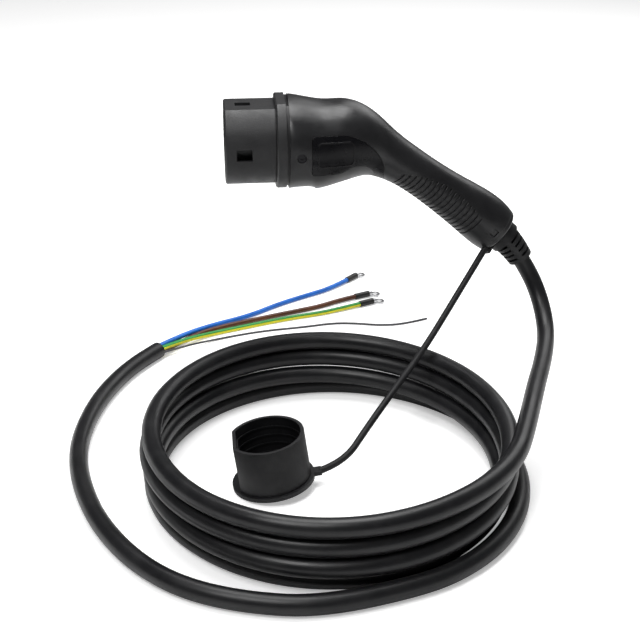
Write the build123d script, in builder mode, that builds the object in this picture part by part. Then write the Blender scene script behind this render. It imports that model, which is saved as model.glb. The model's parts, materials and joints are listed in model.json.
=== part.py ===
"""Vehicle charging connector with its dust cap, coiled cable and stripped cores.

Millimetres. The origin is the centre of the nose's mouth. The nose points along -X, +Z is up and
the handle drops away along +X. XZ is the connector's plane of symmetry.
"""
import math
import os

from build123d import *

# Nose sleeve: a round tube with a flat on top
NOSE_RADIUS = 32.0
NOSE_FLAT = 28.0
NOSE_WALL = 3.0
NOSE_BEVEL = 1.0
NOSE_FRONT = -1.2
SEAT_STEP = 0.6
SEAT_FRONT = 36.0
WINDOW_LENGTH = 11.5
WINDOW_HEIGHT = 8.6
WINDOW_CENTRE_X = 12.8
WINDOW_CENTRE_Z = -2.0

# Collar and seal that sit on the sleeve in front of the housing
COLLAR_FRONT = 36.5
COLLAR_LENGTH = 7.5
COLLAR_STEP = 3.8
COLLAR_BEVEL = 1.0
SEAL_LENGTH = 2.0
SEAL_STEP = 2.2
FIT = 0.1

# Contact carrier and its seven chambers, two of them empty
CARRIER_FRONT = 5.0
CARRIER_RADIUS = 23.5
CARRIER_FLAT = 20.4
CARRIER_FLANGE = 9.5
LIP = 3.0
POWER_RADIUS = 4.0
POWER_BORE = 3.0
SIGNAL_RADIUS = 2.5
SIGNAL_BORE = 1.5
LIP_PLAY = 0.5
POWER_PITCH = 16.0
LOWER_PITCH = 8.0
LOWER_DROP = 14.0
SIGNAL_PITCH = 7.5
SIGNAL_RISE = 12.0
BORE_DEPTH = 28.0
SLOT_LENGTH = 20.0
SLOT_WIDTH = 0.8
CRIMP_LENGTH = 12.0
CRIMP_SHARE = 0.7
BLIND_DEPTH = 16.0

# Retainer behind the carrier, with the screws that hold it
RETAINER_PLATE = 4.0
RETAINER_LENGTH = 13.0
RETAINER_WALL = 6.0
RETAINER_PLAY = 0.9
SMALL_SCREW = 1.4
SMALL_HEAD = 2.6
SMALL_HEAD_LENGTH = 2.0
SMALL_SCREW_LENGTH = 10.0
SMALL_SCREW_CIRCLE = 23.0
SMALL_SCREW_ANGLES = (35.0, 145.0, 200.0, 340.0)

# Housing: stations down its centreline as x, z, tilt below +X, half height, half width
STATIONS = (
    (44.5, -3.0, 0.0, 33.5, 34.5),
    (67.0, -3.5, 0.0, 33.8, 34.0),
    (85.5, -1.7, 3.0, 31.6, 31.5),
    (98.0, -1.6, 4.5, 28.3, 28.2),
    (109.0, -5.3, 12.0, 23.6, 24.0),
    (118.5, -11.8, 23.5, 19.4, 20.5),
    (132.0, -20.5, 34.0, 16.8, 18.5),
    (149.0, -32.2, 38.0, 16.2, 17.8),
    (170.5, -47.6, 39.5, 17.6, 18.0),
    (187.5, -59.9, 40.5, 19.6, 19.0),
    (200.0, -70.3, 42.0, 20.2, 19.3),
    (209.0, -78.5, 42.0, 18.5, 18.0),
)
HOUSING_FRONT = 46.0
WALL = 3.2
HOUSING_SCREW_X = 54.5
HOUSING_SCREW_Z = -4.1
SCREW_RADIUS = 1.6
SCREW_HEAD = 3.2
SCREW_HEAD_LENGTH = 1.4
SCREW_LENGTH = 8.0
SCREW_RECESS = 1.7

# Side panel let into the head and wrapped under the neck
PANEL_DEPTH = 1.5
PANEL_GAP = 0.3
PANEL_FRONT = 62.0
PANEL_TOP = 10.8
PANEL_BOTTOM = -18.9
PANEL_CORNER = 3.0
BAND_FRONT = 111.0
BAND_BACK = 116.5
FRAME_WIDTH = 27.5
FRAME_HEIGHT = 18.9
FRAME_CENTRE = (79.8, -3.2)
FRAME_CORNER = 3.5
FRAME_RIM = 0.9
FRAME_RISE = 0.4

# Grip ribs: grooves cut across the lower side of the handle
GROOVE_COUNT = 19
GROOVE_PITCH = 4.1
GROOVE_WIDTH = 1.9
GROOVE_DEPTH = 1.1
GROOVE_TILT = 40.0
GROOVE_START = (124.0, -27.0)

# End cap, measured along the handle's end axis
CAP_VISIBLE = 4.0
SPIGOT_LENGTH = 10.0
SPIGOT_PLAY = 0.3
CAP_ROUND = 2.0
LATCH_BACK = 8.0
LATCH_LENGTH = 4.4
LATCH_WIDTH = 5.6
LATCH_PLAY = 0.25

# Strain relief boot and the ring of the strap that it traps
RING_THICKNESS = 3.0
RING_RADIUS = 13.5
BOOT_NECK = 9.6
BOOT_COLLAR_RADIUS = 13.0
BOOT_COLLAR_LENGTH = 6.0
BOOT_LENGTH = 27.0
BOOT_BEND = 16.0
BOOT_BASE_RADIUS = 12.0
BOOT_TIP_RADIUS = 9.8
BOOT_CORE_RADIUS = 8.2
BOOT_GAP = 2.0
BOOT_PITCH = 4.8
BOOT_GAPS = 4
BOOT_SPINE = 4.5
BOOT_PLAY = 0.15

# Cable, its four coiled turns and the floor they lie on
CABLE = 13.5
FLOOR = -202.0
COIL_CENTRE = (63.5, -160.0)
COIL_RADIUS_X = 125.0
COIL_RADIUS_Y = 136.0
COIL_TURNS = 4
COIL_WIDTH = 18.0
ENTRY_LENGTH = 26.0

# Strap of the dust cap
STRAP = 5.0
STRAP_ANGLE = -122.0
STRAP_ROOT = 20.0
STRAP_LUG_WIDTH = 8.0

# Dust cap: a cup with a flat, on a round flange
DUST_WALL = 2.4
DUST_PLAY = 0.7
DUST_FLANGE = 29.0
DUST_FLANGE_THICKNESS = 3.0
DUST_HEIGHT = 37.0
DUST_LEAN = 8.0
DUST_CENTRE = (24.0, -161.0)
DUST_RIBS = 4
DUST_RIB_PITCH = 6.5
DUST_RIB_THICKNESS = 1.2
DUST_RIB_RISE = 0.6
DUST_TAB = 5.0

# Cores, shrink sleeves and ring lugs at the stripped end
CORE = 4.3
PILOT = 1.8
SLEEVE_WALL = 0.5
SLEEVE_LENGTH = 14.0
SLEEVE_GRIP = 6.0
LUG_BARREL = 2.1
LUG_BARREL_LENGTH = 11.0
LUG_EYE = 4.6
LUG_HOLE = 2.65
LUG_THICKNESS = 1.0
LUG_NECK = 5.0

os.makedirs("parts", exist_ok=True)


def save(builder, label):
    """Name a finished piece and write it."""
    builder.part.label = label
    export_step(builder.part, f"parts/{label}.step")


def nose_plane(x):
    """A plane across the nose, with Y as its first axis and Z as its second."""
    return Plane(origin=(x, 0, 0), x_dir=(0, 1, 0), z_dir=(1, 0, 0))


def station_plane(x, z, tilt):
    """A plane across the handle, its normal tilted below +X."""
    turn = math.radians(tilt)
    return Plane(origin=(x, 0, z), x_dir=(0, 1, 0), z_dir=(math.cos(turn), 0, -math.sin(turn)))


def d_shape(radius, flat, mode=Mode.ADD):
    """A disc with a flat across its top."""
    half = math.sqrt(radius**2 - flat**2)
    with BuildLine() as outline:
        ThreePointArc((half, flat), (0, -radius), (-half, flat))
        Line((-half, flat), (half, flat))
    make_face(outline.edges(), mode=mode)


# ---------------------------------------------------------------- nose
with BuildPart() as nose_barrel:
    with BuildSketch(nose_plane(NOSE_FRONT)):
        d_shape(NOSE_RADIUS, NOSE_FLAT)
    extrude(amount=SEAT_FRONT - NOSE_FRONT)
    with BuildSketch(nose_plane(SEAT_FRONT)):
        d_shape(NOSE_RADIUS - SEAT_STEP, NOSE_FLAT - SEAT_STEP)
    extrude(amount=HOUSING_FRONT - SEAT_FRONT)
    with BuildSketch(nose_plane(NOSE_FRONT)):
        d_shape(NOSE_RADIUS - NOSE_WALL, NOSE_FLAT - NOSE_WALL)
    extrude(amount=HOUSING_FRONT - NOSE_FRONT, mode=Mode.SUBTRACT)
    rim = nose_barrel.edges().group_by(Axis.X)[0].sort_by(SortBy.LENGTH)
    chamfer([rim[1], rim[3]], NOSE_BEVEL)
    with Locations((WINDOW_CENTRE_X, 0, WINDOW_CENTRE_Z)):
        Box(WINDOW_LENGTH, 3 * NOSE_RADIUS, WINDOW_HEIGHT, mode=Mode.SUBTRACT)
    with Locations((WINDOW_CENTRE_X, 0, NOSE_FLAT)):
        Box(WINDOW_LENGTH, WINDOW_HEIGHT, 3 * NOSE_WALL, mode=Mode.SUBTRACT)
save(nose_barrel, "nose_barrel")

with BuildPart() as collar_ring:
    with BuildSketch(nose_plane(COLLAR_FRONT)):
        d_shape(NOSE_RADIUS + COLLAR_STEP, NOSE_FLAT + COLLAR_STEP)
        d_shape(NOSE_RADIUS - SEAT_STEP + FIT, NOSE_FLAT - SEAT_STEP + FIT, Mode.SUBTRACT)
    extrude(amount=COLLAR_LENGTH)
    rim = collar_ring.edges().group_by(Axis.X)[0].sort_by(SortBy.LENGTH)
    chamfer([rim[1], rim[3]], COLLAR_BEVEL)
save(collar_ring, "collar_ring")

with BuildPart() as nose_seal:
    with BuildSketch(nose_plane(COLLAR_FRONT + COLLAR_LENGTH)):
        d_shape(NOSE_RADIUS + SEAL_STEP, NOSE_FLAT + SEAL_STEP)
        d_shape(NOSE_RADIUS - SEAT_STEP + FIT, NOSE_FLAT - SEAT_STEP + FIT, Mode.SUBTRACT)
    extrude(amount=SEAL_LENGTH)
save(nose_seal, "nose_seal")

# ---------------------------------------------------------------- contacts
POWER_PLACES = {
    "contact_l1": (POWER_PITCH, 0),
    "contact_n": (-POWER_PITCH, 0),
    "contact_pe": (0, 0),
}
SIGNAL_PLACES = {
    "contact_cp": (SIGNAL_PITCH, SIGNAL_RISE),
    "contact_pp": (-SIGNAL_PITCH, SIGNAL_RISE),
}
EMPTY_PLACES = ((LOWER_PITCH, -LOWER_DROP), (-LOWER_PITCH, -LOWER_DROP))
CONTACT_FRONT = CARRIER_FRONT + LIP
SCREW_PLACES = [
    (SMALL_SCREW_CIRCLE * math.cos(math.radians(a)), SMALL_SCREW_CIRCLE * math.sin(math.radians(a)))
    for a in SMALL_SCREW_ANGLES
]

with BuildPart() as contact_carrier:
    with BuildSketch(nose_plane(CARRIER_FRONT)):
        d_shape(CARRIER_RADIUS, CARRIER_FLAT)
    extrude(amount=HOUSING_FRONT - CARRIER_FRONT)
    rim = contact_carrier.edges().group_by(Axis.X)[0]
    chamfer(rim, LIP / 4)
    with BuildSketch(nose_plane(HOUSING_FRONT - CARRIER_FLANGE)):
        d_shape(NOSE_RADIUS - NOSE_WALL - FIT, NOSE_FLAT - NOSE_WALL - FIT)
    extrude(amount=CARRIER_FLANGE)
    with BuildSketch(nose_plane(CARRIER_FRONT)):
        with Locations(*POWER_PLACES.values()):
            Circle(POWER_BORE + LIP_PLAY)
        with Locations(*SIGNAL_PLACES.values()):
            Circle(SIGNAL_BORE + LIP_PLAY)
    extrude(amount=LIP, mode=Mode.SUBTRACT)
    with BuildSketch(nose_plane(CONTACT_FRONT)):
        with Locations(*POWER_PLACES.values()):
            Circle(POWER_RADIUS + FIT)
        with Locations(*SIGNAL_PLACES.values()):
            Circle(SIGNAL_RADIUS + FIT)
    extrude(amount=HOUSING_FRONT - CONTACT_FRONT, mode=Mode.SUBTRACT)
    with BuildSketch(nose_plane(CARRIER_FRONT)):
        with Locations(*EMPTY_PLACES):
            Circle(POWER_BORE + LIP_PLAY)
    extrude(amount=BLIND_DEPTH, mode=Mode.SUBTRACT)
    with BuildSketch(nose_plane(HOUSING_FRONT)):
        with Locations(*SCREW_PLACES):
            Circle(SMALL_SCREW + FIT)
    extrude(amount=RETAINER_PLATE - SMALL_SCREW_LENGTH, mode=Mode.SUBTRACT)

# The carrier is a stack of four pieces, parted through the axes of its chambers
CARRIER_LAYERS = {
    "carrier_top": (SIGNAL_RISE, NOSE_RADIUS),
    "carrier_upper": (0, SIGNAL_RISE),
    "carrier_lower": (-LOWER_DROP, 0),
    "carrier_bottom": (-NOSE_RADIUS, -LOWER_DROP),
}
for layer_name, (layer_base, layer_top) in CARRIER_LAYERS.items():
    with BuildPart() as carrier_layer:
        add(contact_carrier.part)
        with Locations((HOUSING_FRONT / 2, 0, (layer_base + layer_top) / 2)):
            Box(2 * HOUSING_FRONT, 3 * NOSE_RADIUS, layer_top - layer_base, mode=Mode.INTERSECT)
    save(carrier_layer, layer_name)


def make_contact(label, place, radius, bore):
    """A slotted socket with a narrower crimp barrel behind it."""
    with BuildPart() as contact:
        with BuildSketch(nose_plane(CONTACT_FRONT)):
            with Locations(place):
                Circle(radius)
        extrude(amount=HOUSING_FRONT - CONTACT_FRONT)
        with BuildSketch(nose_plane(HOUSING_FRONT)):
            with Locations(place):
                Circle(radius * CRIMP_SHARE)
        extrude(amount=CRIMP_LENGTH)
        with BuildSketch(nose_plane(CONTACT_FRONT)):
            with Locations(place):
                Circle(bore)
        extrude(amount=BORE_DEPTH, mode=Mode.SUBTRACT)
        with Locations((CONTACT_FRONT + SLOT_LENGTH / 2, place[0], place[1])):
            Box(SLOT_LENGTH, 3 * radius, SLOT_WIDTH, mode=Mode.SUBTRACT)
    save(contact, label)


for contact_name, contact_place in POWER_PLACES.items():
    make_contact(contact_name, contact_place, POWER_RADIUS, POWER_BORE)
for contact_name, contact_place in SIGNAL_PLACES.items():
    make_contact(contact_name, contact_place, SIGNAL_RADIUS, SIGNAL_BORE)

MOUTH_Z = STATIONS[0][1]
MOUTH_HALF_HEIGHT = STATIONS[0][3] - WALL - RETAINER_PLAY
MOUTH_HALF_WIDTH = STATIONS[0][4] - WALL - RETAINER_PLAY

with BuildPart() as contact_retainer:
    with BuildSketch(nose_plane(HOUSING_FRONT)):
        with Locations((0, MOUTH_Z)):
            Ellipse(MOUTH_HALF_WIDTH, MOUTH_HALF_HEIGHT)
    extrude(amount=RETAINER_LENGTH)
    with BuildSketch(nose_plane(HOUSING_FRONT + RETAINER_PLATE)):
        with Locations((0, MOUTH_Z)):
            Ellipse(MOUTH_HALF_WIDTH - RETAINER_WALL, MOUTH_HALF_HEIGHT - RETAINER_WALL)
    extrude(amount=RETAINER_LENGTH, mode=Mode.SUBTRACT)
    with BuildSketch(nose_plane(HOUSING_FRONT)):
        with Locations(*POWER_PLACES.values()):
            Circle(POWER_RADIUS * CRIMP_SHARE + FIT)
        with Locations(*SIGNAL_PLACES.values()):
            Circle(SIGNAL_RADIUS * CRIMP_SHARE + FIT)
        with Locations(*SCREW_PLACES):
            Circle(SMALL_SCREW + FIT)
    extrude(amount=RETAINER_PLATE, mode=Mode.SUBTRACT)
    with BuildSketch(nose_plane(HOUSING_FRONT + RETAINER_PLATE)):
        with Locations(*SCREW_PLACES):
            Circle(SMALL_HEAD + FIT)
    extrude(amount=RETAINER_LENGTH, mode=Mode.SUBTRACT)
    with Locations(Location((HOUSING_SCREW_X, 0, HOUSING_SCREW_Z), (90, 0, 0))):
        Cylinder(SCREW_RADIUS + FIT, 3 * NOSE_RADIUS, mode=Mode.SUBTRACT)
save(contact_retainer, "contact_retainer")

for screw_number, screw_place in enumerate(SCREW_PLACES, 1):
    with BuildPart() as retainer_screw:
        with BuildSketch(nose_plane(HOUSING_FRONT + RETAINER_PLATE)):
            with Locations(screw_place):
                Circle(SMALL_HEAD)
        extrude(amount=SMALL_HEAD_LENGTH)
        with BuildSketch(nose_plane(HOUSING_FRONT + RETAINER_PLATE)):
            with Locations(screw_place):
                Circle(SMALL_SCREW)
        extrude(amount=-SMALL_SCREW_LENGTH)
    save(retainer_screw, f"retainer_screw_{screw_number}")


# ---------------------------------------------------------------- housing
def handle_form(grow):
    """The housing's outer form, with every section grown by the same amount."""
    with BuildPart() as form:
        for x, z, tilt, half_height, half_width in STATIONS:
            with BuildSketch(station_plane(x, z, tilt)):
                Ellipse(half_width + grow, half_height + grow)
        loft()
    return form.part


def panel_outline(grow):
    """Side view of the panel: a rounded head that narrows to a band under the neck."""
    front = PANEL_FRONT - grow
    top = PANEL_TOP + grow
    bottom = PANEL_BOTTOM - grow
    band_front = BAND_FRONT - grow
    band_back = BAND_BACK + grow
    slant = grow / math.sqrt(2)
    with BuildLine() as outline:
        Line((front, bottom + PANEL_CORNER), (front, top - PANEL_CORNER))
        TangentArc((front, top - PANEL_CORNER), (front + PANEL_CORNER, top), tangent=(0, 1))
        Line((front + PANEL_CORNER, top), (84, top))
        ThreePointArc((84, top), (104 + slant, 2 + slant), (band_back, -17))
        Line((band_back, -17), (band_back + 1, -48))
        Line((band_back + 1, -48), (band_front, -48))
        Line((band_front, -48), (band_front, -25))
        ThreePointArc((band_front, -25), (105.5 - slant, -16.5 - slant), (96, -13.8 - grow))
        Spline((96, -13.8 - grow), (80, bottom), tangents=((-1, 0), (-1, 0)))
        Line((80, bottom), (front + PANEL_CORNER, bottom))
        TangentArc((front + PANEL_CORNER, bottom), (front, bottom + PANEL_CORNER), tangent=(-1, 0))
    make_face(outline.edges())


outer_form = handle_form(0)
inner_form = handle_form(-WALL)
spigot_form = handle_form(-WALL - SPIGOT_PLAY)
panel_floor = handle_form(-PANEL_DEPTH)
recess_floor = handle_form(-PANEL_DEPTH - PANEL_GAP)
groove_floor = handle_form(-GROOVE_DEPTH)
frame_top = handle_form(FRAME_RISE)
END_X, END_Z, END_TILT, END_HALF_HEIGHT, END_HALF_WIDTH = STATIONS[-1]
end_plane = station_plane(END_X, END_Z, END_TILT)
seam_plane = end_plane.offset(-CAP_VISIBLE)
SCREW_FACE = STATIONS[0][4] - SCREW_RECESS

with BuildPart() as panel_recess:
    with BuildSketch(Plane.XZ):
        panel_outline(PANEL_GAP)
    extrude(amount=2 * NOSE_RADIUS, both=True)
    add(frame_top, mode=Mode.INTERSECT)
    add(recess_floor, mode=Mode.SUBTRACT)

with BuildPart() as grip_grooves:
    groove_turn = math.radians(GROOVE_TILT)
    groove_planes = [
        station_plane(
            GROOVE_START[0] + GROOVE_PITCH * i * math.cos(groove_turn),
            GROOVE_START[1] - GROOVE_PITCH * i * math.sin(groove_turn),
            GROOVE_TILT,
        )
        for i in range(GROOVE_COUNT)
    ]
    with Locations(*groove_planes):
        Box(2 * NOSE_RADIUS, 3 * NOSE_RADIUS, GROOVE_WIDTH)
    with BuildSketch(Plane.XZ):
        with BuildLine():
            Line((116, -46), (130.5, -24))
            ThreePointArc((130.5, -24), (161, -32.5), (194, -64))
            Line((194, -64), (178, -88))
            Line((178, -88), (116, -46))
        make_face()
    extrude(amount=2 * NOSE_RADIUS, both=True, mode=Mode.INTERSECT)
    add(groove_floor, mode=Mode.SUBTRACT)

with BuildPart() as housing:
    add(outer_form)
    split(bisect_by=seam_plane, keep=Keep.BOTTOM)
    split(bisect_by=nose_plane(HOUSING_FRONT), keep=Keep.TOP)
    add(inner_form, mode=Mode.SUBTRACT)
    add(panel_recess.part, mode=Mode.SUBTRACT)
    for side in (-1, 1):
        with Locations(end_plane * Location((side * END_HALF_WIDTH, 0, -LATCH_BACK))):
            Box(4 * WALL, LATCH_WIDTH, LATCH_LENGTH, mode=Mode.SUBTRACT)
        boss_plane = Plane(origin=(HOUSING_SCREW_X, side * SCREW_FACE, HOUSING_SCREW_Z), z_dir=(0, side, 0))
        with BuildSketch(boss_plane):
            Circle(SCREW_HEAD + PANEL_GAP)
        extrude(amount=2 * WALL, mode=Mode.SUBTRACT)
        with BuildSketch(boss_plane):
            Circle(SCREW_RADIUS + FIT)
        extrude(amount=-2 * WALL, mode=Mode.SUBTRACT)
    add(grip_grooves.part, mode=Mode.SUBTRACT)
save(housing, "housing")

with BuildPart() as label_frame:
    with BuildSketch(Plane.XZ):
        with Locations(FRAME_CENTRE):
            RectangleRounded(FRAME_WIDTH, FRAME_HEIGHT, FRAME_CORNER)
            RectangleRounded(
                FRAME_WIDTH - 2 * FRAME_RIM,
                FRAME_HEIGHT - 2 * FRAME_RIM,
                FRAME_CORNER - FRAME_RIM,
                mode=Mode.SUBTRACT,
            )
    extrude(amount=2 * NOSE_RADIUS, both=True)
    add(frame_top, mode=Mode.INTERSECT)
    add(panel_floor, mode=Mode.SUBTRACT)

with BuildPart() as side_panel:
    with BuildSketch(Plane.XZ):
        panel_outline(0)
    extrude(amount=2 * NOSE_RADIUS, both=True)
    add(outer_form, mode=Mode.INTERSECT)
    add(panel_floor, mode=Mode.SUBTRACT)
    add(label_frame.part)
save(side_panel, "side_panel")

for side, side_name in ((-1, "left"), (1, "right")):
    screw_plane = Plane(origin=(HOUSING_SCREW_X, side * SCREW_FACE, HOUSING_SCREW_Z), z_dir=(0, side, 0))
    with BuildPart() as housing_screw:
        with BuildSketch(screw_plane):
            Circle(SCREW_HEAD)
        extrude(amount=SCREW_HEAD_LENGTH)
        with BuildSketch(screw_plane):
            Circle(SCREW_RADIUS)
        extrude(amount=-SCREW_LENGTH)
        with BuildSketch(screw_plane.offset(SCREW_HEAD_LENGTH)):
            RegularPolygon(SCREW_HEAD / 2, 6)
        extrude(amount=-SCREW_HEAD_LENGTH / 2, mode=Mode.SUBTRACT)
    save(housing_screw, f"housing_screw_{side_name}")

with BuildPart() as spigot:
    add(spigot_form)
    split(bisect_by=seam_plane, keep=Keep.BOTTOM)
    split(bisect_by=seam_plane.offset(-SPIGOT_LENGTH), keep=Keep.TOP)
    for side in (-1, 1):
        with Locations(end_plane * Location((side * (END_HALF_WIDTH - WALL), 0, -LATCH_BACK))):
            Box(2 * WALL, LATCH_WIDTH - 2 * LATCH_PLAY, LATCH_LENGTH - 2 * LATCH_PLAY)

with BuildPart() as end_cap:
    add(outer_form)
    split(bisect_by=seam_plane, keep=Keep.TOP)
    fillet(end_cap.faces().sort_by_distance(end_plane.origin)[0].edges(), CAP_ROUND)
    add(spigot.part)
    with BuildSketch(end_plane):
        Circle(CABLE / 2 + BOOT_PLAY)
    extrude(amount=2 * SPIGOT_LENGTH, both=True, mode=Mode.SUBTRACT)
save(end_cap, "end_cap")

# ---------------------------------------------------------------- strain relief
BOOT_END = RING_THICKNESS + BOOT_LENGTH
BOOT_STEPS = 3
BOOT_GAP_START = RING_THICKNESS + BOOT_COLLAR_LENGTH + 1


def boot_plane(reach):
    """A plane across the boot, whose axis bends down evenly from the ring to the tip."""
    ring_face = end_plane.offset(RING_THICKNESS).origin
    start = math.radians(END_TILT)
    bend = math.radians(BOOT_BEND)
    turn = start + bend * (min(reach, BOOT_END) - RING_THICKNESS) / BOOT_LENGTH
    bend_radius = BOOT_LENGTH / bend
    x = ring_face.X + bend_radius * (math.sin(turn) - math.sin(start))
    z = ring_face.Z + bend_radius * (math.cos(turn) - math.cos(start))
    return station_plane(x, z, math.degrees(turn)).offset(max(reach - BOOT_END, 0))


BOOT_REACHES = [RING_THICKNESS + BOOT_LENGTH * step / BOOT_STEPS for step in range(BOOT_STEPS + 1)]

with BuildPart() as cable_entry:
    with BuildSketch(end_plane.offset(-ENTRY_LENGTH)):
        Circle(CABLE / 2)
    extrude(amount=ENTRY_LENGTH + RING_THICKNESS)
    for reach in BOOT_REACHES:
        with BuildSketch(boot_plane(reach)):
            Circle(CABLE / 2)
    loft()
save(cable_entry, "cable_entry")

with BuildPart() as strap_ring:
    with BuildSketch(end_plane):
        Circle(RING_RADIUS)
        with Locations(Rotation(0, 0, STRAP_ANGLE)):
            with Locations((STRAP_ROOT / 2, 0)):
                Rectangle(STRAP_ROOT, STRAP_LUG_WIDTH)
        Circle(BOOT_NECK + BOOT_PLAY, mode=Mode.SUBTRACT)
    extrude(amount=RING_THICKNESS)
save(strap_ring, "strap_ring")

with BuildPart() as strain_relief_boot:
    with BuildSketch(end_plane):
        Circle(BOOT_NECK)
    extrude(amount=RING_THICKNESS)
    for reach in BOOT_REACHES:
        share = (reach - RING_THICKNESS) / BOOT_LENGTH
        with BuildSketch(boot_plane(reach)):
            Circle(BOOT_BASE_RADIUS + (BOOT_TIP_RADIUS - BOOT_BASE_RADIUS) * share)
    loft()
    for gap in range(BOOT_GAPS):
        with BuildSketch(boot_plane(BOOT_GAP_START + gap * BOOT_PITCH)):
            Circle(BOOT_COLLAR_RADIUS)
            Circle(BOOT_CORE_RADIUS, mode=Mode.SUBTRACT)
            Rectangle(BOOT_SPINE, 3 * BOOT_COLLAR_RADIUS, mode=Mode.SUBTRACT, rotation=90)
        extrude(amount=BOOT_GAP, mode=Mode.SUBTRACT)
    with BuildSketch(end_plane.offset(RING_THICKNESS)):
        Circle(BOOT_COLLAR_RADIUS)
    extrude(amount=BOOT_COLLAR_LENGTH)
    with BuildSketch(end_plane):
        Circle(CABLE / 2 + BOOT_PLAY)
    extrude(amount=RING_THICKNESS, mode=Mode.SUBTRACT)
    for reach in BOOT_REACHES:
        with BuildSketch(boot_plane(reach)):
            Circle(CABLE / 2 + BOOT_PLAY)
    loft(mode=Mode.SUBTRACT)
save(strain_relief_boot, "strain_relief_boot")


# ---------------------------------------------------------------- cords
def corner_radii(points):
    """The largest bend at each corner that its two runs allow."""
    radii = []
    for before, corner, after in zip(points, points[1:], points[2:]):
        run_in = corner - before
        run_out = after - corner
        turn = math.radians(run_in.get_angle(run_out))
        radii.append(0.45 * min(run_in.length, run_out.length) / math.tan(turn / 2))
    return radii


def make_cord(label, places, diameter):
    """A round tube along straight runs joined by tangent bends."""
    points = [Vector(*place) for place in places]
    radii = corner_radii(points)
    with BuildPart() as cord:
        with BuildLine() as path:
            FilletPolyline(*points, radius=radii)
        with BuildSketch(Plane(origin=points[0], z_dir=points[1] - points[0])):
            Circle(diameter / 2)
        sweep()
    length = sum(edge.length for edge in path.edges())
    expected = math.pi * (diameter / 2) ** 2 * length
    print(label, "length", round(length, 1), "volume ratio", round(cord.part.volume / expected, 4))
    print("  radii", [round(radius, 1) for radius in radii])
    save(cord, label)


CABLE_Z = FLOOR + CABLE / 2
COIL_TOP = FLOOR + COIL_TURNS * CABLE
CORE_Z = FLOOR + CORE / 2
DROP_ROUTE = [
    tuple(boot_plane(BOOT_END).origin),
    tuple(boot_plane(BOOT_END + 17).origin),
    (244.5, -8, -132),
    (247.5, -22.5, -145.5),
    (244.5, -43, -154),
    (233, -80, -156),
    (219.5, -119, -155.3),
    (COIL_CENTRE[0] + COIL_RADIUS_X + (COIL_WIDTH + CABLE) / 2 + 0.4, -160, COIL_TOP - CABLE / 2),
]
make_cord("cable_drop", DROP_ROUTE, CABLE)

with BuildPart() as cable_coil:
    with BuildSketch(Plane.XY.offset(FLOOR)):
        with Locations(COIL_CENTRE):
            Ellipse(COIL_RADIUS_X + COIL_WIDTH / 2, COIL_RADIUS_Y + COIL_WIDTH / 2)
            Ellipse(COIL_RADIUS_X - COIL_WIDTH / 2, COIL_RADIUS_Y - COIL_WIDTH / 2, mode=Mode.SUBTRACT)
    extrude(amount=COIL_TURNS * CABLE)
save(cable_coil, "cable_coil")

TAIL_ROUTE = [
    (72, -311.7, CABLE_Z),
    (43, -315, CABLE_Z),
    (-3, -306, CABLE_Z),
    (-40, -288, CABLE_Z),
    (-69, -258, CABLE_Z),
    (-93, -215, CABLE_Z),
    (-108, -168, CABLE_Z),
    (-115.5, -120, CABLE_Z),
    (-113, -75, CABLE_Z),
    (-104, -32, CABLE_Z),
    (-91, 3, CABLE_Z),
    (-76, 31, CABLE_Z),
    (-60, 52, CABLE_Z),
]
make_cord("cable_tail", TAIL_ROUTE, CABLE)

strap_turn = math.radians(STRAP_ANGLE)


def strap_place(reach):
    """A point on the strap's line at a distance from the handle's end axis."""
    local = Vector(reach * math.cos(strap_turn), reach * math.sin(strap_turn), RING_THICKNESS / 2)
    return tuple(end_plane.from_local_coords(local))


lean = math.radians(DUST_LEAN)
dust_origin = (DUST_CENTRE[0], DUST_CENTRE[1], FLOOR + DUST_FLANGE * math.sin(lean))
dust_plane = Plane(origin=dust_origin, x_dir=(0, 1, 0), z_dir=(-math.sin(lean), 0, math.cos(lean)))
tab_reach = DUST_FLANGE + DUST_TAB + STRAP / 8
tab_end = dust_plane.from_local_coords(Vector(0, -tab_reach, DUST_FLANGE_THICKNESS / 2))
STRAP_ROUTE = [
    strap_place(STRAP_ROOT),
    strap_place(STRAP_ROOT + 51),
    (141.5, -74, -143.5),
    (116.5, -108, -156),
    (92, -136, -173.5),
    (74, -157.5, -187.5),
    tuple(tab_end),
]
make_cord("cap_strap", STRAP_ROUTE, STRAP)

# ---------------------------------------------------------------- dust cap
with BuildPart() as dust_cap:
    with BuildSketch(dust_plane):
        Circle(DUST_FLANGE)
        with Locations((0, -(DUST_FLANGE + DUST_TAB) / 2)):
            Rectangle(STRAP_LUG_WIDTH, DUST_FLANGE + DUST_TAB)
    extrude(amount=DUST_FLANGE_THICKNESS)
    with BuildSketch(dust_plane):
        d_shape(CARRIER_RADIUS + DUST_PLAY + DUST_WALL, CARRIER_FLAT + DUST_PLAY + DUST_WALL)
    extrude(amount=DUST_HEIGHT)
    with BuildSketch(dust_plane.offset(DUST_FLANGE_THICKNESS)):
        d_shape(CARRIER_RADIUS + DUST_PLAY, CARRIER_FLAT + DUST_PLAY)
    extrude(amount=DUST_HEIGHT, mode=Mode.SUBTRACT)
    for rib in range(DUST_RIBS):
        with BuildSketch(dust_plane.offset(DUST_FLANGE_THICKNESS + (rib + 1) * DUST_RIB_PITCH)):
            d_shape(CARRIER_RADIUS + DUST_PLAY + DUST_WALL / 2, CARRIER_FLAT + DUST_PLAY + DUST_WALL / 2)
            inner = DUST_PLAY - DUST_RIB_RISE
            d_shape(CARRIER_RADIUS + inner, CARRIER_FLAT + inner, Mode.SUBTRACT)
        extrude(amount=DUST_RIB_THICKNESS)
save(dust_cap, "dust_cap")

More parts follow.
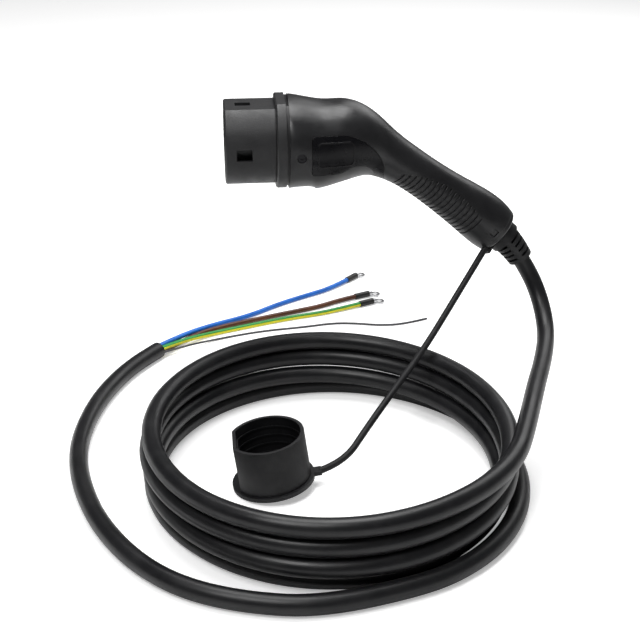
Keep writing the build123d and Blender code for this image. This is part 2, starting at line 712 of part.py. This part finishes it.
# ---------------------------------------------------------------- stripped end
CORE_ROUTES = {
    "blue": [
        (-61.5, 53.9, FLOOR + 8.4),
        (-43, 80, FLOOR + 5.5),
        (-17.5, 106, CORE_Z),
        (18, 124, CORE_Z),
        (46, 148, CORE_Z),
        (73, 165.5, CORE_Z),
        (96, 179, CORE_Z + 0.3),
        (117, 201, CORE_Z + 0.8),
    ],
    "brown": [
        (-59.7, 52.4, FLOOR + 4),
        (-42, 76, CORE_Z),
        (-18, 97.5, CORE_Z),
        (17, 113.5, CORE_Z),
        (52, 127.5, CORE_Z),
        (83, 139.5, CORE_Z),
        (101, 151, CORE_Z + 0.3),
        (122, 159.5, CORE_Z + 0.8),
    ],
    "earth": [
        (-57.9, 50.9, FLOOR + 8.4),
        (-39.5, 71.5, FLOOR + 5.5),
        (-18, 89, CORE_Z),
        (17, 103, CORE_Z),
        (52, 116.5, CORE_Z),
        (82, 124.5, CORE_Z),
        (103, 133, CORE_Z + 0.3),
        (124, 142.5, CORE_Z + 0.8),
    ],
}
PILOT_ROUTE = [
    (-56.2, 49.5, FLOOR + 5.5),
    (-38.5, 63.5, FLOOR + 4),
    (-12, 81, FLOOR + PILOT / 2),
    (26, 94, FLOOR + PILOT / 2),
    (65, 99.4, FLOOR + PILOT / 2),
    (92, 105.5, FLOOR + PILOT / 2),
    (112, 103, FLOOR + PILOT / 2),
    (131, 97.5, FLOOR + PILOT / 2),
    (153, 98, FLOOR + PILOT / 2),
    (174.5, 108, FLOOR + PILOT / 2),
]
for core_name, core_route in CORE_ROUTES.items():
    make_cord(f"core_{core_name}", core_route, CORE)
    core_end = Vector(*core_route[-1])
    lug_plane = Plane(origin=core_end, x_dir=(0, 0, 1), z_dir=core_end - Vector(*core_route[-2]))
    with BuildPart() as sleeve:
        with BuildSketch(lug_plane.offset(-SLEEVE_GRIP)):
            Circle(CORE / 2 + FIT + SLEEVE_WALL)
            Circle(CORE / 2 + FIT / 2, mode=Mode.SUBTRACT)
        extrude(amount=SLEEVE_LENGTH)
    save(sleeve, f"sleeve_{core_name}")
    flat_plane = Plane(origin=core_end, x_dir=lug_plane.z_dir, z_dir=(0, 0, 1)).offset(-LUG_BARREL)
    neck_start = SLEEVE_LENGTH - SLEEVE_GRIP + FIT
    eye_reach = LUG_BARREL_LENGTH + LUG_EYE - LUG_THICKNESS
    with BuildPart() as lug:
        with BuildSketch(lug_plane):
            Circle(LUG_BARREL)
        extrude(amount=LUG_BARREL_LENGTH)
        with BuildSketch(flat_plane):
            with Locations(((neck_start + eye_reach) / 2, 0)):
                Rectangle(eye_reach - neck_start, LUG_NECK)
            with Locations((eye_reach, 0)):
                Circle(LUG_EYE)
                Circle(LUG_HOLE, mode=Mode.SUBTRACT)
        extrude(amount=LUG_THICKNESS)
    save(lug, f"lug_{core_name}")
make_cord("core_pilot", PILOT_ROUTE, PILOT)
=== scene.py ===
"""The finished look of the vehicle charging connector, its dust cap, cable and stripped cores.

Lengths are in metres. Black plastics and rubbers differ by grain, gloss and roughness.
"""
import json
import math

import bpy
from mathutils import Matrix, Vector

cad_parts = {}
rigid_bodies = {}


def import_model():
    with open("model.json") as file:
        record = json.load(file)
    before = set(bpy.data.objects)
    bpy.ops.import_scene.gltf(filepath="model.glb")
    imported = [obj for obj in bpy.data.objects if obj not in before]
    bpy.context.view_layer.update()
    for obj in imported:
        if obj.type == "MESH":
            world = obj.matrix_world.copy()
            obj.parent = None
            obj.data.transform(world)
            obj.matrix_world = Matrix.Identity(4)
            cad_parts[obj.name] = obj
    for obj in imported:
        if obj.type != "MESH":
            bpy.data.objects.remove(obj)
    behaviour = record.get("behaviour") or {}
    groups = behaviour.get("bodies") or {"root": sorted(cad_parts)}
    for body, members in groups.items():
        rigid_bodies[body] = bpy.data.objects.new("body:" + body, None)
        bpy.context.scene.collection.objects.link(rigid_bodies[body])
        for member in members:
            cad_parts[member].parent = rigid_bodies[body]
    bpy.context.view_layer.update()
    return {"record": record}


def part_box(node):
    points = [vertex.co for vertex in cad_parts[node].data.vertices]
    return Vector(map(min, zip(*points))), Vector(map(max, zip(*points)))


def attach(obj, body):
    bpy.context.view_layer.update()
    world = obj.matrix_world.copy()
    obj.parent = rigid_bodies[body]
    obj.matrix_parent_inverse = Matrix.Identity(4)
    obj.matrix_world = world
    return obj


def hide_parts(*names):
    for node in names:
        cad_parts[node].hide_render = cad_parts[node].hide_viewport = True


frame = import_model()

# Sizes in metres; the routes below are in millimetres
MM = 0.001
CABLE = 13.5 * MM
STRAP = 5.0 * MM
CORE = 4.3 * MM
PILOT = 1.8 * MM
CABLE_LIFT = 6.75
CORE_LIFT = 2.15
PILOT_LIFT = 0.9
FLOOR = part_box("cable_coil")[0][2]
TOP_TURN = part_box("cable_coil")[1][2] - CABLE / 2
FLOOR_TURN = FLOOR + CABLE / 2


# ---------------------------------------------------------------- cords
def mm(x, y, z):
    """A place given in millimetres."""
    return Vector((x * MM, y * MM, z * MM))


def on_floor(x, y, lift):
    """A place given in millimetres, with its height above the floor."""
    return Vector((x * MM, y * MM, FLOOR + lift * MM))


def make_cord(name, places, diameter, steps=8):
    """A smooth round cord along one open spline."""
    line = bpy.data.curves.new(name, "CURVE")
    line.dimensions = "3D"
    spline = line.splines.new("NURBS")
    spline.points.add(len(places) - 1)
    for point, place in zip(spline.points, places):
        point.co = (*place, 1)
        point.radius = diameter / 2
    spline.order_u = 3
    spline.use_endpoint_u = True
    line.resolution_u = steps
    line.bevel_depth = 1
    line.bevel_resolution = 6
    line.use_fill_caps = True
    cord = bpy.data.objects.new(name, line)
    bpy.context.collection.objects.link(cord)
    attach(cord, "root")
    return cord


def ease(value, start, end):
    """Rises smoothly from 0 at start to 1 at end."""
    share = min(max((value - start) / (end - start), 0), 1)
    return share * share * (3 - 2 * share)


# The coil, whose places are counted in turns from its right side
COIL_CENTRE = (63.5 * MM, -160 * MM)
COIL_RADII = (125 * MM, 136 * MM)
COIL_TURNS = 4
COIL_START = 0.03
COIL_END = 4.2
POINTS_PER_TURN = 24
HALF_RAMP = 0.35
# The drop joins from outside and above
SIDE_STEP = 15.5 * MM
SIDE_STEP_SPAN = (-0.12, 0.2)
HUMP = 3 * MM
HUMP_SPAN = (0.12, 0.4)
# The lowest turn tucks in, and the tail leaves outside it
TUCK = 6 * MM
TUCK_IN_SPAN = (2.55, 2.9)
TUCK_OUT_SPAN = (3.3, 3.6)
TAIL_STEP = 9.5 * MM
TAIL_STEP_SPAN = (3.6, 4.0)
# The turns wander a little
LOOSENESS = 1.3 * MM
WANDER = 9.1
WANDER_SPAN = (0.2, 0.6)


def coil_place(turn):
    """A point of the coil. Each turn lies on the one below, and steps down on the right."""
    ramps = range(1, COIL_TURNS)
    layers_down = sum(ease(turn, ramp - HALF_RAMP, ramp + HALF_RAMP) for ramp in ramps)
    height = TOP_TURN - layers_down * CABLE + HUMP * (1 - ease(turn, *HUMP_SPAN))
    outwards = SIDE_STEP * (1 - ease(turn, *SIDE_STEP_SPAN))
    outwards += TAIL_STEP * ease(turn, *TAIL_STEP_SPAN)
    outwards -= TUCK * (ease(turn, *TUCK_IN_SPAN) - ease(turn, *TUCK_OUT_SPAN))
    outwards += LOOSENESS * math.sin(WANDER * turn) * ease(turn, *WANDER_SPAN)
    angle = -2 * math.pi * turn
    return Vector((
        COIL_CENTRE[0] + (COIL_RADII[0] + outwards) * math.cos(angle),
        COIL_CENTRE[1] + (COIL_RADII[1] + outwards) * math.sin(angle),
        max(height, FLOOR_TURN),
    ))


BOOT_MOUTH = mm(228.47, 0, -101.09)
DROP = [
    BOOT_MOUTH,
    mm(237.5, 0, -115.5),
    mm(244, -8, -131.5),
    mm(246, -22.5, -145),
    mm(243, -43, -153),
    mm(231.5, -80, -154.5),
    mm(217.5, -119, -153),
]
COIL_STEPS = round(COIL_END * POINTS_PER_TURN)
COIL = [coil_place(COIL_START + step / POINTS_PER_TURN) for step in range(COIL_STEPS)]
TAIL = [
    on_floor(43, -315, CABLE_LIFT),
    on_floor(-3, -306, CABLE_LIFT),
    on_floor(-40, -288, CABLE_LIFT),
    on_floor(-69, -258, CABLE_LIFT),
    on_floor(-93, -215, CABLE_LIFT),
    on_floor(-108, -168, CABLE_LIFT),
    on_floor(-115.5, -120, CABLE_LIFT),
    on_floor(-113, -75, CABLE_LIFT),
    on_floor(-104, -32, CABLE_LIFT),
    on_floor(-91, 3, CABLE_LIFT),
    on_floor(-76, 31, CABLE_LIFT),
    on_floor(-60, 52, CABLE_LIFT),
]
cable = make_cord("charging_cable", DROP + COIL + TAIL, CABLE)
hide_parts("cable_drop", "cable_coil", "cable_tail")

STRAP_ROUTE = [
    mm(198.37, -10.6, -88.15),
    mm(170.23, -37.65, -119.4),
    mm(141.5, -74, -143.5),
    mm(116.5, -108, -156),
    mm(92, -136, -173.5),
    mm(74, -157.5, -187.5),
    mm(56.5, -161, -191.75),
]
strap = make_cord("dust_cap_strap", STRAP_ROUTE, STRAP)
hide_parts("cap_strap")

CORE_ROUTES = {
    "blue": [
        on_floor(-61.5, 53.9, 8.4),
        on_floor(-43, 80, 5.5),
        on_floor(-17.5, 106, CORE_LIFT),
        on_floor(18, 124, CORE_LIFT),
        on_floor(46, 148, CORE_LIFT),
        on_floor(73, 165.5, CORE_LIFT),
        on_floor(96, 179, CORE_LIFT + 0.3),
        on_floor(117, 201, CORE_LIFT + 0.8),
    ],
    "brown": [
        on_floor(-59.7, 52.4, 4),
        on_floor(-42, 76, CORE_LIFT),
        on_floor(-18, 97.5, CORE_LIFT),
        on_floor(17, 113.5, CORE_LIFT),
        on_floor(52, 127.5, CORE_LIFT),
        on_floor(83, 139.5, CORE_LIFT),
        on_floor(101, 151, CORE_LIFT + 0.3),
        on_floor(122, 159.5, CORE_LIFT + 0.8),
    ],
    "earth": [
        on_floor(-57.9, 50.9, 8.4),
        on_floor(-39.5, 71.5, 5.5),
        on_floor(-18, 89, CORE_LIFT),
        on_floor(17, 103, CORE_LIFT),
        on_floor(52, 116.5, CORE_LIFT),
        on_floor(82, 124.5, CORE_LIFT),
        on_floor(103, 133, CORE_LIFT + 0.3),
        on_floor(124, 142.5, CORE_LIFT + 0.8),
    ],
}
PILOT_ROUTE = [
    on_floor(-56.2, 49.5, 5.5),
    on_floor(-38.5, 63.5, 4),
    on_floor(-12, 81, PILOT_LIFT),
    on_floor(26, 94, PILOT_LIFT),
    on_floor(65, 99.4, PILOT_LIFT),
    on_floor(92, 105.5, PILOT_LIFT),
    on_floor(112, 103, PILOT_LIFT),
    on_floor(131, 97.5, PILOT_LIFT),
    on_floor(153, 98, PILOT_LIFT),
    on_floor(174.5, 108, PILOT_LIFT),
]
cores = {}
for core_name, core_route in CORE_ROUTES.items():
    core = make_cord(f"core_{core_name}_wire", core_route, CORE)
    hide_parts(f"core_{core_name}")
    cores[core_name] = core
pilot = make_cord("core_pilot_wire", PILOT_ROUTE, PILOT)
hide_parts("core_pilot")
cores["pilot"] = pilot


# ---------------------------------------------------------------- materials
# Radius by which moulded edges catch the light
EDGE = 0.6 * MM
YELLOW = (0.80, 0.74, 0.015)
GREEN = (0.02, 0.27, 0.05)
UPWARDS = (0, 0, 1)


def new_material(name):
    """A material with its shader, and its object coordinates in metres."""
    material = bpy.data.materials.new(name)
    material.use_nodes = True
    nodes = material.node_tree.nodes
    links = material.node_tree.links
    place = nodes.new("ShaderNodeTexCoord").outputs["Object"]
    return material, nodes, links, nodes["Principled BSDF"], place


def noise(nodes, links, place, scale, detail=3.0, stretch=None):
    """A noise value over the object, with its scale in cells per metre."""
    texture = nodes.new("ShaderNodeTexNoise")
    texture.inputs["Scale"].default_value = scale
    texture.inputs["Detail"].default_value = detail
    if stretch:
        mapping = nodes.new("ShaderNodeMapping")
        mapping.inputs["Scale"].default_value = stretch
        links.new(place, mapping.inputs["Vector"])
        place = mapping.outputs["Vector"]
    links.new(place, texture.inputs["Vector"])
    return texture.outputs["Fac"]


def spread(nodes, links, value, low, high, start=0.3, end=0.7):
    """Maps the middle of a noise value's spread onto a range."""
    ranged = nodes.new("ShaderNodeMapRange")
    ranged.inputs["From Min"].default_value = start
    ranged.inputs["From Max"].default_value = end
    ranged.inputs["To Min"].default_value = low
    ranged.inputs["To Max"].default_value = high
    links.new(value, ranged.inputs["Value"])
    return ranged.outputs["Result"]


def two_colours(nodes, links, value, first, second, start=0.35, end=0.65):
    """Blends two colours by a noise value."""
    ramp = nodes.new("ShaderNodeValToRGB")
    ramp.color_ramp.elements[0].position = start
    ramp.color_ramp.elements[0].color = (*first, 1)
    ramp.color_ramp.elements[1].position = end
    ramp.color_ramp.elements[1].color = (*second, 1)
    links.new(value, ramp.inputs["Fac"])
    return ramp.outputs["Color"]


def bump(nodes, links, shader, value, depth, strength=0.5, edge=0.0):
    """Raises the surface by a noise value, with its depth in metres, and softens its edges."""
    relief = nodes.new("ShaderNodeBump")
    if edge:
        rounding = nodes.new("ShaderNodeBevel")
        rounding.samples = 6
        rounding.inputs["Radius"].default_value = edge
        links.new(rounding.outputs["Normal"], relief.inputs["Normal"])
    relief.inputs["Strength"].default_value = strength
    relief.inputs["Distance"].default_value = depth
    links.new(value, relief.inputs["Height"])
    links.new(relief.outputs["Normal"], shader.inputs["Normal"])


def moulded_plastic(
    name, dark, light, rough_low, rough_high, grain, depth, strength=0.35, gloss=0.45
):
    """Dark moulded plastic with a fine eroded grain and handling marks."""
    material, nodes, links, shader, place = new_material(name)
    cloud = noise(nodes, links, place, 45, 4)
    links.new(two_colours(nodes, links, cloud, dark, light), shader.inputs["Base Color"])
    rubs = noise(nodes, links, place, 120, 5)
    links.new(spread(nodes, links, rubs, rough_low, rough_high), shader.inputs["Roughness"])
    fine = noise(nodes, links, place, grain, 4)
    bump(nodes, links, shader, fine, depth, strength, EDGE)
    shader.inputs["Specular IOR Level"].default_value = gloss
    return material


def soft_rubber(name, dark, light, rough_low, rough_high, grain=900):
    """Matt black rubber with faint dust and a soft sheen."""
    material, nodes, links, shader, place = new_material(name)
    dust = noise(nodes, links, place, 70, 6)
    links.new(two_colours(nodes, links, dust, dark, light, 0.42, 0.72), shader.inputs["Base Color"])
    patches = noise(nodes, links, place, 30, 3)
    links.new(spread(nodes, links, patches, rough_low, rough_high), shader.inputs["Roughness"])
    bump(nodes, links, shader, noise(nodes, links, place, grain, 3), 0.12 * MM, 0.4)
    shader.inputs["Specular IOR Level"].default_value = 0.36
    return material


def core_plastic(name, colour, shade):
    """Glossy wire insulation with a slightly uneven colour."""
    material, nodes, links, shader, place = new_material(name)
    uneven = noise(nodes, links, place, 60, 3)
    links.new(two_colours(nodes, links, uneven, shade, colour), shader.inputs["Base Color"])
    links.new(spread(nodes, links, uneven, 0.32, 0.42), shader.inputs["Roughness"])
    bump(nodes, links, shader, noise(nodes, links, place, 500, 2), 0.1 * MM, 0.2)
    return material


def earth_plastic():
    """Yellow insulation with a green stripe along its upper side."""
    material, nodes, links, shader, place = new_material("earth_insulation")
    surface = nodes.new("ShaderNodeNewGeometry")
    towards = nodes.new("ShaderNodeVectorMath")
    towards.operation = "DOT_PRODUCT"
    towards.inputs[1].default_value = UPWARDS
    links.new(surface.outputs["Normal"], towards.inputs[0])
    stripe = two_colours(nodes, links, towards.outputs["Value"], YELLOW, GREEN, 0.40, 0.44)
    links.new(stripe, shader.inputs["Base Color"])
    uneven = noise(nodes, links, place, 60, 3)
    links.new(spread(nodes, links, uneven, 0.32, 0.42), shader.inputs["Roughness"])
    return material


def plated_metal(name, colour, shade, rough_low, rough_high):
    """Plated metal with fine drawn marks and a little tarnish."""
    material, nodes, links, shader, place = new_material(name)
    tarnish = noise(nodes, links, place, 260, 5)
    links.new(two_colours(nodes, links, tarnish, shade, colour), shader.inputs["Base Color"])
    drawn = noise(nodes, links, place, 400, 3, (0.2, 3, 3))
    links.new(spread(nodes, links, drawn, rough_low, rough_high), shader.inputs["Roughness"])
    bump(nodes, links, shader, drawn, 0.05 * MM, 0.3)
    shader.inputs["Metallic"].default_value = 1.0
    return material


body_plastic = moulded_plastic(
    "body_plastic",
    dark=(0.005, 0.005, 0.006),
    light=(0.009, 0.009, 0.010),
    rough_low=0.30,
    rough_high=0.42,
    grain=2200,
    depth=0.08 * MM,
)
nose_plastic = moulded_plastic(
    "nose_plastic",
    dark=(0.009, 0.009, 0.010),
    light=(0.017, 0.017, 0.018),
    rough_low=0.40,
    rough_high=0.55,
    grain=1300,
    depth=0.16 * MM,
    strength=0.6,
)
panel_plastic = moulded_plastic(
    "panel_plastic",
    dark=(0.002, 0.002, 0.003),
    light=(0.004, 0.004, 0.005),
    rough_low=0.24,
    rough_high=0.34,
    grain=2600,
    depth=0.04 * MM,
    gloss=0.2,
)
boot_rubber = soft_rubber("boot_rubber", (0.006, 0.006, 0.007), (0.013, 0.013, 0.014), 0.42, 0.56)
cap_rubber = soft_rubber("cap_rubber", (0.004, 0.004, 0.005), (0.011, 0.011, 0.012), 0.5, 0.66)
sheath_rubber = soft_rubber(
    "sheath_rubber", (0.005, 0.005, 0.006), (0.011, 0.011, 0.012), 0.30, 0.44, grain=1500
)
shrink_plastic = moulded_plastic(
    "shrink_plastic",
    dark=(0.010, 0.010, 0.010),
    light=(0.020, 0.020, 0.020),
    rough_low=0.35,
    rough_high=0.5,
    grain=1200,
    depth=0.08 * MM,
)
contact_metal = plated_metal("contact_silver", (0.80, 0.79, 0.76), (0.62, 0.60, 0.56), 0.22, 0.38)
screw_metal = plated_metal("screw_black", (0.030, 0.030, 0.032), (0.018, 0.018, 0.019), 0.3, 0.45)
lug_metal = plated_metal("lug_tin", (0.78, 0.78, 0.79), (0.60, 0.60, 0.62), 0.2, 0.35)
core_finishes = {
    "blue": core_plastic("blue_insulation", (0.012, 0.16, 0.62), (0.008, 0.12, 0.50)),
    "brown": core_plastic("brown_insulation", (0.11, 0.035, 0.014), (0.07, 0.022, 0.010)),
    "earth": earth_plastic(),
    "pilot": core_plastic("pilot_insulation", (0.07, 0.07, 0.075), (0.045, 0.045, 0.05)),
}
NODE_FINISHES = {
    "body_plastic": body_plastic,
    "nose_plastic": nose_plastic,
    "panel_plastic": panel_plastic,
    "soft_rubber": boot_rubber,
    "cap_rubber": cap_rubber,
    "cable_sheath": sheath_rubber,
    "contact_metal": contact_metal,
    "screw_metal": screw_metal,
    "lug_metal": lug_metal,
    "shrink_black": shrink_plastic,
    "core_blue": core_finishes["blue"],
    "core_brown": core_finishes["brown"],
    "core_earth": core_finishes["earth"],
    "core_pilot": core_finishes["pilot"],
}


def finish(piece, material):
    """Gives a piece one material."""
    piece.data.materials.clear()
    piece.data.materials.append(material)


for subpart in frame["record"]["subparts"]:
    finish(bpy.data.objects[subpart["node"]], NODE_FINISHES[subpart["material_slot"]])
finish(cable, sheath_rubber)
finish(strap, cap_rubber)
for core_name, core in cores.items():
    finish(core, core_finishes[core_name])


# ---------------------------------------------------------------- room
def seen_directly(nodes):
    """1 where the camera itself looks at the surround."""
    return nodes.new("ShaderNodeLightPath").outputs["Is Camera Ray"]


def light_the_world(strength):
    """A white surround, plain white where it is seen."""
    world = bpy.data.worlds.new("surround")
    bpy.context.scene.world = world
    world.use_nodes = True
    nodes = world.node_tree.nodes
    links = world.node_tree.links
    background = nodes["Background"]
    background.inputs["Color"].default_value = (1, 1, 1, 1)
    level = nodes.new("ShaderNodeMapRange")
    level.inputs["To Min"].default_value = strength
    level.inputs["To Max"].default_value = 1.0
    links.new(seen_directly(nodes), level.inputs["Value"])
    links.new(level.outputs["Result"], background.inputs["Strength"])


def make_floor(lift):
    """A wide white floor, lifted a little towards white where it is seen."""
    bpy.ops.object.select_all(action="DESELECT")
    bpy.ops.mesh.primitive_plane_add(size=FLOOR_SIZE, location=(0, 0, FLOOR))
    floor = bpy.context.object
    floor.name = "studio_floor"
    material, nodes, links, shader, _ = new_material("floor_white")
    shader.inputs["Base Color"].default_value = (0.93, 0.93, 0.93, 1)
    shader.inputs["Roughness"].default_value = 0.9
    shader.inputs["Specular IOR Level"].default_value = 0.1
    shader.inputs["Emission Color"].default_value = (1, 1, 1, 1)
    level = nodes.new("ShaderNodeMath")
    level.operation = "MULTIPLY"
    level.inputs[1].default_value = lift
    links.new(seen_directly(nodes), level.inputs[0])
    links.new(level.outputs["Value"], shader.inputs["Emission Strength"])
    finish(floor, material)


def soft_lamp(name, place, target, size, power):
    """A square soft lamp aimed at a point."""
    lamp = bpy.data.lights.new(name, "AREA")
    lamp.size = size
    lamp.energy = power
    holder = bpy.data.objects.new(name, lamp)
    holder.location = place
    holder.rotation_euler = (Vector(target) - Vector(place)).to_track_quat("-Z", "Y").to_euler()
    bpy.context.collection.objects.link(holder)


SURROUND_LIGHT = 0.14
FLOOR_LIFT = 0.38
FLOOR_SIZE = 12
MIDDLE = (0.06, -0.10, -0.10)
light_the_world(SURROUND_LIGHT)
make_floor(FLOOR_LIFT)
soft_lamp("key_lamp", (-0.45, -0.80, 1.20), MIDDLE, 0.6, 13)
soft_lamp("top_lamp", (0.10, 0.25, 1.40), MIDDLE, 1.0, 24)
soft_lamp("back_lamp", (0.75, 0.85, 0.70), MIDDLE, 0.8, 5)

CAMERA_PLACE = (-0.0177, -1.0072, 0.3113)
CAMERA_DOWN = math.radians(24.5)
CAMERA_TURN = math.radians(-5.0)
LENS = 78.75
SENSOR_WIDTH = 36
optics = bpy.data.cameras.new("camera")
optics.lens = LENS
optics.sensor_width = SENSOR_WIDTH
camera = bpy.data.objects.new("camera", optics)
camera.location = CAMERA_PLACE
camera.rotation_euler = (math.pi / 2 - CAMERA_DOWN, 0, CAMERA_TURN)
bpy.context.collection.objects.link(camera)
bpy.context.scene.camera = camera
bpy.context.scene.view_settings.view_transform = "Standard"
